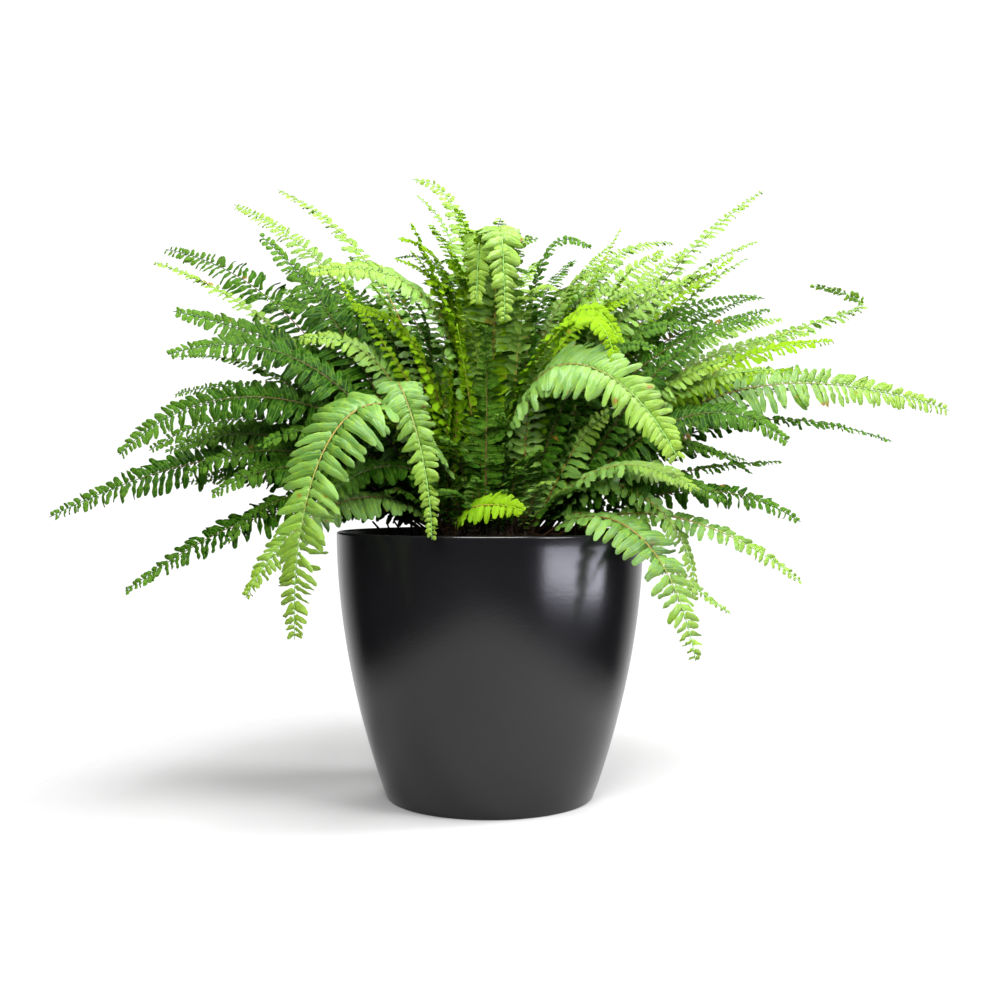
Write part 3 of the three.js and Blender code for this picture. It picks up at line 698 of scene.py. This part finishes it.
def build_pot():
    lip_center = (RIM_RADIUS - WALL / 2, POT_HEIGHT - WALL / 2)
    foot_center = (FOOT_RADIUS - FOOT_ROUND / 2, FOOT_ROUND / 2)
    foot = arc(foot_center, FOOT_ROUND / 2, -90, -20, 6)
    heights = np.linspace(FOOT_ROUND, POT_HEIGHT - WALL / 2, POT_RINGS)
    outside = [(pot_radius(z), z) for z in heights[1:]]
    lip = arc(lip_center, WALL / 2, 0, 180, 11)[1:-1]
    inner_heights = [*heights[heights > FLOOR][::-1], FLOOR]
    inside = [(pot_radius(z) - WALL, z) for z in inner_heights]
    profile = [(AXIS_FACE, 0.0), *foot, *outside, *lip, *inside, (AXIS_FACE, FLOOR)]
    points, faces = turned(profile, POT_SIDES)
    piece = make_piece("planter", points, faces, [pot_material()])
    return piece


# Soil

def soil_height(r):
    swell = 0.5 + 0.5 * np.cos(np.pi * np.minimum(1, r / CROWN_RADIUS))
    return POT_HEIGHT + SOIL_EDGE + (SOIL_CROWN - SOIL_EDGE) * swell


def soil_relief(x, y):
    coarse = noise.noise(Vector((x, y, 0.0)) * COARSE_LUMPS)
    fine = noise.noise(Vector((x, y, 0.4)) * FINE_LUMPS)
    return SOIL_RELIEF * (coarse + FINE_SHARE * fine)


def build_soil():
    edge = pot_radius(POT_HEIGHT + SOIL_EDGE) - WALL - SEAT_GAP
    bottom = FLOOR + SEAT_GAP
    radii = [mix(AXIS_FACE, edge, (k / SOIL_RINGS) ** RING_CROWDING) for k in range(SOIL_RINGS + 1)]
    top = [(r, soil_height(r)) for r in radii]
    wall = [(pot_radius(z) - WALL - SEAT_GAP, z) for z in (*SOIL_WALL_HEIGHTS, bottom)]
    profile = [*top, *wall, (AXIS_FACE, bottom)][::-1]
    points, faces = turned(profile, SOIL_SIDES)
    for point in points[-SOIL_SIDES * len(top):]:
        r = math.hypot(point[0], point[1])
        fade = min(1, (edge - r) / RELIEF_FADE + RELIEF_AT_WALL)
        point[2] += soil_relief(point[0], point[1]) * fade
    return soil_piece("soil_ball", points, faces, PEAT)


def soil_piece(name, points, faces, looks, smooth=True):
    """The soil or something that lies on it."""
    piece = make_piece(name, points, faces, [soil_material(name, *looks)], smooth=smooth)
    return piece


def scatter(radius, nearest):
    """A random place on the soil: its distance from the middle and its bearing."""
    return radius * math.sqrt(random.uniform(nearest, 1)), random.uniform(0, 360)


def build_crumbs():
    """Crumbs of peat and bark on the soil, each an uneven lump that sits half in it."""
    golden = (1 + 5 ** 0.5) / 2
    corners = [np.roll((a, b, 0), turn) for turn in range(3) for b in (golden, -golden) for a in (-1, 1)]
    corners = unit(np.array(corners))
    sides = [
        (0, 11, 5), (0, 5, 1), (0, 1, 7), (0, 7, 10), (0, 10, 11),
        (1, 5, 9), (5, 11, 4), (11, 10, 2), (10, 7, 6), (7, 1, 8),
        (3, 9, 4), (3, 4, 2), (3, 2, 6), (3, 6, 8), (3, 8, 9),
        (4, 9, 5), (2, 4, 11), (6, 2, 10), (8, 6, 7), (9, 8, 1),
    ]
    bundle = Bundle()
    for _ in range(CRUMBS):
        r, bearing = scatter(RIM_RADIUS - WALL - CRUMB_MARGIN, 0.05)
        place = heading(bearing) * r
        size = mix(*CRUMB_SIZE, random.uniform() ** 2)
        shape = corners * random.uniform(0.65, 1.15, (12, 1)) * random.uniform(0.6, 1.4, 3) * size
        place[2] = soil_height(r) + soil_relief(place[0], place[1]) + size * 0.2
        bundle.add(shape + place, sides)
    return soil_piece("soil_crumbs", *bundle.mesh(), BARK, smooth=False)


def build_rootlets():
    """Thin brown roots and bits of fibre that lie on the soil."""
    bundle = Bundle()
    for _ in range(ROOTLETS):
        r, bearing = scatter(ROOTLET_REACH, 0.02)
        path = [heading(bearing) * r]
        course = random.uniform(0, 360)
        stride = random.uniform(0.0015, 0.0048)
        for _ in range(ROOTLET_STEPS - 1):
            course += random.uniform(-32, 32)
            path.append(path[-1] + heading(course) * stride)
        path = np.array(path)
        far = np.hypot(path[:, 0], path[:, 1])
        path[:, :2] *= np.minimum(1, ROOTLET_LIMIT / np.maximum(far, 0.001))[:, None]
        far = np.hypot(path[:, 0], path[:, 1])
        arch = np.sin(np.linspace(0, np.pi, ROOTLET_STEPS)) * random.uniform(0, 2.5)
        path[:, 2] = soil_height(far) + ROOTLET_LIFT * (1 + arch)
        radii = random.uniform(0.00025, 0.0005) * np.linspace(1, 0.5, ROOTLET_STEPS)
        bundle.add(*tube(path, radii, 4))
    return soil_piece("rootlets", *bundle.mesh(), ROOT_FIBRE)


def build_stubs():
    """Cut and dead stems that stand among the living ones."""
    bundle = Bundle()
    steps = np.linspace(0, 1, STUB_STEPS)[:, None]
    for _ in range(STUBS):
        r, bearing = scatter(STUB_REACH, 0.02)
        foot = heading(bearing) * r
        foot[2] = soil_height(r) - STUB_SUNK
        length = random.uniform(0.012, 0.05)
        rise = random.uniform(50, 88)
        course = bearing + random.uniform(-50, 50)
        path = foot + steps * length * direction(course, rise)
        path += heading(course) * (steps**2 * length * random.uniform(-0.1, 0.3))
        radii = np.linspace(1.0, 0.75, STUB_STEPS) * random.uniform(0.0008, 0.0015)
        bundle.add(*tube(path, radii, 6))
    return soil_piece("dead_stems", *bundle.mesh(), DEAD_STEM)


# Ribs

SAMPLES = np.linspace(0, 1, 201)


def bezier(points, t):
    t = t[:, None]
    a, b, c, d = points
    return a * (1 - t) ** 3 + 3 * b * t * (1 - t) ** 2 + 3 * c * t**2 * (1 - t) + d * t**3


def bezier_slope(points, t):
    t = t[:, None]
    a, b, c, d = points
    return 3 * (b - a) * (1 - t) ** 2 + 6 * (c - b) * t * (1 - t) + 3 * (d - c) * t**2


def rib_points(row, root):
    """The four control points of a frond's rib."""
    tip = heading(row.bearing) * row.reach * MM + (0, 0, row.tip_height * MM)
    span = np.linalg.norm(tip - root)
    leaving = direction(row.bearing + row.turn, row.rise) * span * row.spring
    ending = direction(row.bearing - row.turn / 2, row.fall) * span * row.drop
    return np.array([root, root + leaving, tip - ending, tip])


def root_of(row):
    radius = ROOT_SPREAD - ROOT_GATHER * min(row.rise, STEEPEST_ROOT) + row.out * MM
    return heading(row.bearing + row.turn) * radius + (0, 0, soil_height(radius))


class Frond:
    """A frond's rib and the frames along it."""

    def __init__(self, row, before=None):
        self.row = row
        self.is_twin = row.name.endswith("_twin")
        root = before.points[0] if self.is_twin else root_of(row)
        self.points = rib_points(row, root)
        steps = np.linalg.norm(np.diff(bezier(self.points, SAMPLES), axis=0), axis=1)
        lengths = np.concatenate([[0], np.cumsum(steps)])
        self.length = lengths[-1]
        self.shares = lengths / self.length
        self.slimness = random.uniform(*SLIMNESS)
        has_tail = row.fall > HANGING and row.age == "mature"
        self.tail = random.uniform(0, TAIL_SHORTER) if has_tail else 0.0
        self.looseness = LOOSE.get(row.name, 1.0)
        # Painted light: upright fronds, whose faces lie in shade, are given a lighter green.
        self.painted_light = UPRIGHT_PAINTED_LIGHT * min(1, max(0, (row.rise - UPRIGHT_FROM) / UPRIGHT_RANGE))

    def frames(self, shares):
        """The places, directions, sides and upper faces at shares of the length."""
        t = np.interp(shares, self.shares, SAMPLES)
        along = unit(bezier_slope(self.points, t))
        level = heading(self.row.bearing + 90)
        across = unit(level - along * (along @ level)[:, None])
        above = np.cross(along, across)
        roll = math.radians(self.row.face) * math.cos(math.radians(self.row.bearing))
        side = across * math.cos(roll) + above * math.sin(roll)
        return bezier(self.points, t), along, side, np.cross(along, side)


def width_profile(share):
    opened = np.minimum(1, FIRST_WIDTH + OPENING * (share - BARE_STEM))
    past = np.maximum(0, share - WIDEST) / (1 - WIDEST)
    return opened * (1 - NARROWING * past**NARROW_BEND)


def rib_mesh(frond):
    """The stem and rib: a tube that stands in its hole and thins towards the tip."""
    count = max(LEAST_RINGS, round(frond.length / RIB_STEP))
    shares = np.linspace(0, 1, count)
    place, along, side, above = frond.frames(shares)
    foot = -STEM_DEPTH if not frond.is_twin else 0.0
    place = np.concatenate([[place[0] + along[0] * foot], place])
    side = np.concatenate([side[:1], side])
    above = np.concatenate([above[:1], above])
    shares = np.concatenate([[0], shares])
    radii = mix(*RIB_RADIUS, shares**RIB_THINNING)
    points = round_rings(place, side, above, radii, RIB_SIDES)
    growth = np.repeat(shares, RIB_SIDES)
    faces = ring_faces(count + 1, RIB_SIDES)
    gold = random.uniform(*LEAF_LOOKS[frond.row.age]["golden_rib"])
    return points, faces, np.column_stack([growth, np.full_like(growth, gold)])


# Leaflets

def leaflet_faces(count):
    """The faces of one leaflet with so many stations, and which of them belong to the lower skin."""
    tip = 4 * count
    faces = [(0, 1, 2, 3)]
    for start in range(0, tip, 4):
        for a, b in ((0, 1), (1, 2), (2, 3), (3, 0)):
            ahead = (start + a + 4, start + b + 4) if start + 4 < tip else (tip,)
            faces.append((start + a, *ahead, start + b))
    return faces, [1] + [0, 0, 1, 1] * count


def leaflet_shares(frond, offset):
    """Where leaflets grow: their spacing closes up towards the tip."""
    pitch = frond.looseness * (FINEST_PITCH + PITCH_PER_WIDTH * frond.row.half_width * MM)
    share = BARE_STEM + offset * pitch / frond.length
    shares = []
    pitches = []
    while share < LAST_LEAFLET:
        here = pitch * (TIP_PITCH + (1 - TIP_PITCH) * width_profile(share))
        shares.append(share)
        pitches.append(here)
        share += here / frond.length * random.uniform(*PITCH_VARIES)
    return np.array(shares), np.array(pitches)


def leaflets_on(frond, hand):
    """All leaflets on one side of a frond, sorted by how many stations they have."""
    shares, pitches = leaflet_shares(frond, 0.25 * (1 - hand))
    length = frond.row.half_width * MM * width_profile(shares) * vary(len(shares), LENGTH_VARIES)
    length *= 1 - frond.tail * np.clip((shares - TAIL_START) / TAIL_RANGE, 0, 1)
    longest = math.inf
    for shortest, stations in LEAFLET_STATIONS.items():
        chosen = (length >= shortest) & (length < longest)
        longest = shortest
        if chosen.any():
            yield leaflet_points(frond, hand, stations, shares[chosen], pitches[chosen], length[chosen])


def spread(values):
    """One value for each leaflet, set out to meet the stations along it."""
    return values[:, None]


def half_widths(stations):
    """A leaflet's half width along it, as a share of the widest, with teeth."""
    cut = np.where(np.arange(len(stations)) % 2, 1, -1) * (stations > TEETH_START)
    body = (1 - LEAFLET_TAPER * stations) * np.sqrt(1 - stations**TIP_BLUNTNESS) * (1 + TEETH * cut)
    return body * np.minimum(1, BASE_WIDTH + stations * BASE_OPENING)


def leaflet_points(frond, hand, stations, shares, pitches, length):
    """Leaflets with the same stations, as points and their UV numbers."""
    count = len(shares)
    place, along, side, above = frond.frames(np.minimum(shares, 1.0))
    half = np.minimum(pitches / frond.looseness**0.5 * LEAFLET_WIDTH, length * BROADEST)
    half = half * vary(count, WIDTH_VARIES) * frond.slimness
    sweep = mix(*LEAFLET_SWEEP, shares) * vary(count, SWEEP_VARIES)
    sweep = np.radians(sweep + random.normal(0, SWEEP_STRAYS, count))
    tilt = np.radians(TILT * vary(count, TILT_VARIES) + random.normal(0, TILT_STRAYS, count))
    twist = np.radians(TWIST * random.normal(0, 1, count) * (1 + shares**2))
    droop = LEAFLET_DROOP + random.normal(0, DROOP_STRAYS, count)

    u = np.array(stations)
    out = hand * side * spread(np.cos(sweep)) + along * spread(np.sin(sweep))
    onward = along * spread(np.cos(sweep)) - hand * side * spread(np.sin(sweep))
    lean = (spread(tilt) + spread(twist) * u)[..., None]
    level = onward[:, None] * np.cos(lean) - above[:, None] * np.sin(lean)
    normal = above[:, None] * np.cos(lean) + onward[:, None] * np.sin(lean)
    body = half_widths(u)
    ear = EAR * np.exp(-(((u - EAR_LENGTH) / EAR_LENGTH) ** 2))
    hook = HOOK * spread(vary(count, HOOK_VARIES))
    lift = LIFT * spread(vary(count, LIFT_VARIES))
    rise = lift * u - (lift + spread(droop)) * u**2
    wave = spread(random.uniform(0, 2 * np.pi, count))
    ripples = spread(random.uniform(*RIPPLES, count)) * 2 * np.pi

    middle = (
        (place + hand * side * LEAFLET_ASIDE + above * LEAFLET_ABOVE)[:, None]
        + out[:, None] * (spread(length) * u)[..., None]
        + level * (spread(length) * (hook * u**2))[..., None]
        + normal * (spread(length) * rise)[..., None]
    )
    middle[..., 2] -= spread(length) * HANG * u**2
    outward = unit(level - out[:, None] * (2 * hook * u)[..., None])
    edges = []
    for hand_edge, phase in ((1, 0.0), (-1, RIPPLE_SHIFT)):
        width = spread(half) * (body + (ear if hand_edge > 0 else 0))
        ruffle = RUFFLE * np.sin(ripples * u + wave + phase) * np.minimum(1, u * RUFFLE_SOON)
        edge = middle + outward * (hand_edge * width)[..., None]
        edges.append(edge + normal * (width * (ruffle - CUP))[..., None])
    thick = normal * LEAF_THICKNESS / 2
    ring = np.stack([edges[0], middle + thick, edges[1], middle - thick], axis=2)
    if hand < 0:
        ring = ring[:, :, [2, 1, 0, 3]]
    tips = middle[:, -1] + (middle[:, -1] - middle[:, -2]) * (1 - u[-1]) / (u[-1] - u[-2])
    tips += level[:, -1] * spread(length * hook[:, 0] * TIP_HOOK)
    points = np.concatenate([ring.reshape(count, -1, 3), tips[:, None]], axis=1)

    u_values = np.append(np.repeat(u, 4), 1.0)
    v_values = np.append(np.tile([1.0, 0.5, 0.0, 0.5], len(u)), 0.5)
    leaf_uv = np.tile(np.column_stack([u_values, v_values]), (count, 1))
    # Each leaflet's random tone, raised by the painted light of upright fronds.
    tones_and_painted_light = random.uniform(0, 1, count) + frond.painted_light
    each = len(u_values)
    growth = np.column_stack([np.repeat(shares, each), np.repeat(tones_and_painted_light, each)])
    return points, leaf_uv, growth


def clear_planter(points):
    """Lifts leaflets off the soil and the rim, and keeps them off the outside of the wall."""
    r = np.hypot(points[..., 0], points[..., 1])
    z = points[..., 2]
    inner = RIM_RADIUS - WALL - PLANTER_CLEARANCE
    middle = RIM_RADIUS - WALL / 2
    over_rim = POT_HEIGHT + PLANTER_CLEARANCE
    on_soil = (r < inner) & (z < soil_height(r) + PLANTER_CLEARANCE)
    z[on_soil] = soil_height(r[on_soil]) + PLANTER_CLEARANCE
    z[(r >= inner) & (r < middle) & (z < over_rim)] = over_rim
    wall = pot_radius(np.clip(z, 0, POT_HEIGHT)) + PLANTER_CLEARANCE
    outside = (r >= middle) & (r < wall) & (z < over_rim)
    points[outside, :2] *= (wall[outside] / r[outside])[:, None]
    return points


def build_frond(name, fronds, materials):
    """One piece: the ribs of some fronds and all their leaflets."""
    bundle = Bundle()
    leaf_uvs = []
    growths = []
    face_materials = []
    on_rim = []
    for frond in fronds:
        for points, leaf_uv, growth in (*leaflets_on(frond, 1), *leaflets_on(frond, -1)):
            count, each = points.shape[:2]
            faces, lower = leaflet_faces(each // 4)
            for leaflet in clear_planter(points):
                bundle.add(leaflet, faces)
            leaf_uvs.append(leaf_uv)
            growths.append(growth)
            face_materials += lower * count
            ring_rim = np.append(np.tile([True, False, True, False], each // 4), True)
            on_rim.append(np.tile(ring_rim, count))
        points, faces, growth = rib_mesh(frond)
        bundle.add(points, faces)
        leaf_uvs.append(np.full((len(points), 2), 0.5))
        growths.append(growth)
        face_materials += [2] * len(faces)
        on_rim.append(np.zeros(len(points), bool))
    points, faces = bundle.mesh()
    points = np.clip(points, cad_box[0], cad_box[1])
    piece = make_piece(name, points, faces, materials, face_materials)
    set_uv(piece.data, "leaflet", np.concatenate(leaf_uvs))
    set_uv(piece.data, "growth", np.concatenate(growths))
    sharpen_rims(piece.data, np.concatenate(on_rim))
    return piece


def build_fern():
    fronds = []
    for values in FRONDS:
        fronds.append(Frond(Row(*values), fronds[-1] if fronds else None))
    groups = {}
    for frond in fronds:
        groups.setdefault("frond_" + frond.row.name.replace("_twin", ""), []).append(frond)
    looks = {}
    for age in LEAF_LOOKS:
        looks[age] = [leaf_material(age), leaf_material(age, under=True), rib_material(age)]
    for node, members in groups.items():
        age = members[0].row.age
        piece = build_frond(node.replace("frond_", "leafy_"), members, looks[age])
        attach(piece, "root")
        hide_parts(node)
    for age, members in inner_fronds().items():
        for first in range(0, len(members), PER_PIECE):
            name = f"inner_{age}_{first // PER_PIECE + 1}"
            piece = build_frond(name, members[first:first + PER_PIECE], looks[age])
            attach(piece, "root")


def inner_row(k):
    """A frond of the crown that follows the rule."""
    age = "young" if k % 8 == 4 else "grown" if k % 3 == 1 else "mature"
    bearing = k * GOLDEN_ANGLE + random.uniform(-12, 12)
    in_front = max(0, -math.sin(math.radians(bearing)))
    reach = random.uniform(*INNER_REACH) * (1 - FRONT_NEARER * in_front)
    low, high = INNER_HEIGHTS
    height = mix(low, high - FAR_LOWER * (reach - INNER_REACH[0]), random.uniform() ** HIGH_ONES)
    rise = 90 - FAR_FLATTER * reach + random.uniform(-5, 3)
    fall = random.uniform(-35, 50)
    width = random.uniform(15, 25)
    face = random.uniform(0, 60)
    out = random.uniform(-5, 30)
    return Row("inner", bearing, reach, height, rise, fall, width, face, age, drop=INNER_DROP, out=out)


def crown_row(values):
    row = Row("crown", *values)
    return row if len(values) > 8 else row._replace(drop=INNER_DROP)


def inner_fronds():
    """Short fronds that fill the crown between the long ones, by age."""
    fronds = [Frond(inner_row(k)) for k in range(INNER_FRONDS)]
    fronds += [Frond(crown_row(values)) for values in CROWN]
    return {age: [frond for frond in fronds if frond.row.age == age] for age in LEAF_LOOKS}


# Stage

WHITE = (1.0, 1.0, 1.0)
FLOOR_GREY = (0.42, 0.42, 0.42)
FLOOR_HALF = 2.2
FADE_PLACE = (0.06, 0.12, 0)  # the floor fades out round an oval
FADE_SCALE = (1.9, 1.25, 1)
FADE_RANGE = (0.62, 1.0)
DARK_ROOM = (0.02, 0.02, 0.024)
ROOM_LIGHT = (0.95, 1.0, 0.85)
ROOM_STRENGTH = 0.06
WHITE_STRENGTH = 1.1
BACK_RANGE = (0.5, 0.85)  # where mirrored rays that point to the back turn white
LOW_RANGE = (0.0, 0.15)  # and those that point up turn dark again
CAMERA_PLACE = (0.0098, -1.265, 0.303)
CAMERA_LENS = 46.26
CAMERA_PITCH = 0.58
WINDOW_BLUE = (0.85, 0.87, 1.0)
# Each light's name, place, target, size, power and colour, and the kinds of rays that don't see it
LIGHTS = [
    ("overhead", (0.0, -0.35, 1.75), (0, 0, 0.4), (0.9, 0.8), 39, WHITE, ()),
    ("key", (1.25, -0.95, 1.4), (0, 0, 0.3), (0.7, 0.7), 31, WHITE, ()),
    ("side", (1.6, 0.25, 0.9), (0, 0, 0.3), (0.6, 0.6), 48, WHITE, ("glossy",)),
    ("back", (0.5, 1.55, 0.6), (0, 0, 0.4), (1.2, 0.7), 40, WHITE, ("glossy",)),
    ("fill", (-0.35, -1.6, 1.2), (0, 0, 0.4), (0.8, 0.8), 52, WHITE, ("glossy",)),
    ("window", (1.158, -0.59, 0.05), (0, 0, 0.15), (1.2, 0.2), 12, WINDOW_BLUE, ("diffuse", "transmission")),
]


def build_floor():
    """A pale floor that fades into the white background."""
    net = Material("floor_white")
    net.look(FLOOR_GREY, 0.8, 0.1)
    oval = net.add("Mapping", net.places(), Location=FADE_PLACE, Scale=FADE_SCALE)
    far = net.add("VectorMath", oval.outputs["Vector"])
    far.operation = "LENGTH"
    net.overlay(net.fit(far.outputs["Value"], FADE_RANGE, (0.0, 1.0)), net.add("BsdfTransparent"))
    corners = np.array([(-1, -1, 0), (1, -1, 0), (1, 1, 0), (-1, 1, 0)]) * FLOOR_HALF
    floor = make_piece("floor", corners, [(0, 1, 2, 3)], [net.material], smooth=False)


def build_world():
    """White behind the fern and dark in front of it; the camera always sees white."""
    world = bpy.data.worlds.new("studio")
    bpy.context.scene.world = world
    net = ShaderNet(world)
    net.nodes.clear()
    ray = net.parts(net.places("Generated"))
    behind = net.fit(ray["Y"], BACK_RANGE, (0.0, 1.0))
    not_above = net.fit(ray["Z"], LOW_RANGE, (1.0, 0.0))
    mirrored = net.background(net.mix(net.math("MULTIPLY", behind, not_above), DARK_ROOM, WHITE))
    kinds = net.add("LightPath").outputs
    unseen = net.mix_shaders(kinds["Is Glossy Ray"], net.background(ROOM_LIGHT, ROOM_STRENGTH), mirrored)
    surface = net.mix_shaders(kinds["Is Camera Ray"], unseen, net.background(WHITE, WHITE_STRENGTH))
    net.add("OutputWorld", surface)


def build_camera():
    data = bpy.data.cameras.new("camera")
    data.lens = CAMERA_LENS
    camera = bpy.data.objects.new("camera", data)
    camera.location = CAMERA_PLACE
    camera.rotation_euler = (math.radians(90 - CAMERA_PITCH), 0, 0)
    bpy.context.scene.collection.objects.link(camera)
    bpy.context.scene.camera = camera


def add_light(name, place, target, size, power, color, blind_rays):
    light = bpy.data.lights.new(name, "AREA")
    light.shape = "RECTANGLE"
    light.size, light.size_y = size
    light.energy = power
    light.color = color
    lamp = bpy.data.objects.new(name, light)
    lamp.location = place
    lamp.rotation_euler = (Vector(target) - Vector(place)).to_track_quat("-Z", "Y").to_euler()
    lamp.visible_camera = False
    lamp.visible_glossy = "glossy" not in blind_rays
    lamp.visible_diffuse = "diffuse" not in blind_rays
    lamp.visible_transmission = "transmission" not in blind_rays
    bpy.context.scene.collection.objects.link(lamp)


def build_stage():
    build_floor()
    build_world()
    build_camera()
    for light in LIGHTS:
        add_light(*light)
    bpy.context.scene.view_settings.view_transform = "Standard"


# Putting it together

planter = build_pot()
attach(planter, "root")
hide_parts("pot")
soil = build_soil()
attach(soil, "root")
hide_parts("soil")
for extra in (build_crumbs(), build_rootlets(), build_stubs()):
    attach(extra, "root")
build_fern()
build_stage()
